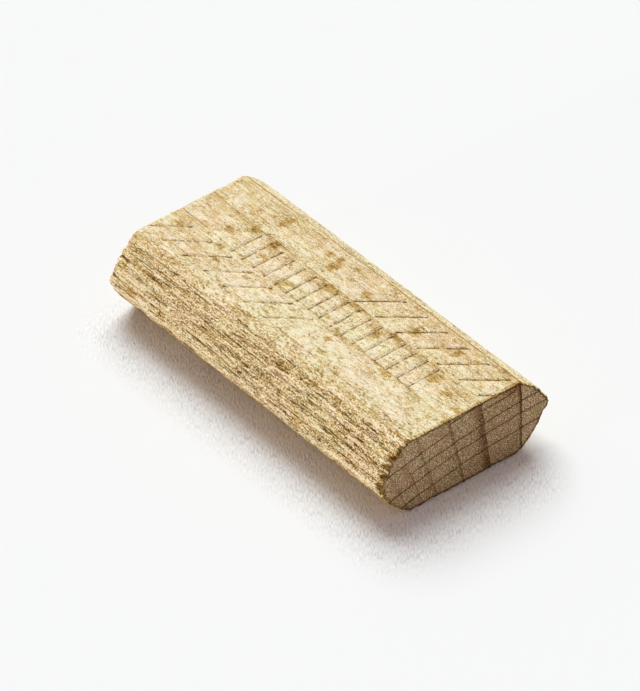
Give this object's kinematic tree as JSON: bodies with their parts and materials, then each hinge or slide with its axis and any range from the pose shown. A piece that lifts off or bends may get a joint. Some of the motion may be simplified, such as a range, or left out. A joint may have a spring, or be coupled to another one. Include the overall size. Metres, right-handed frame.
{
  "type": "loose tenon",
  "caption": "Short beech bar with flat wide faces, reeded rounded edges and pressed glue grooves, glued into two facing mortises.",
  "frame": {"origin": "under the middle of the bar, on its lower wide face", "axes": "+X along the grain, +Y across the width, +Z through the thickness"},
  "size_m": [0.05, 0.024, 0.01],
  "materials": {
    "wood": "planed beech, unfinished"
  },
  "bodies": {
    "root": {"tenon": "wood"}
  },
  "joints": []
}
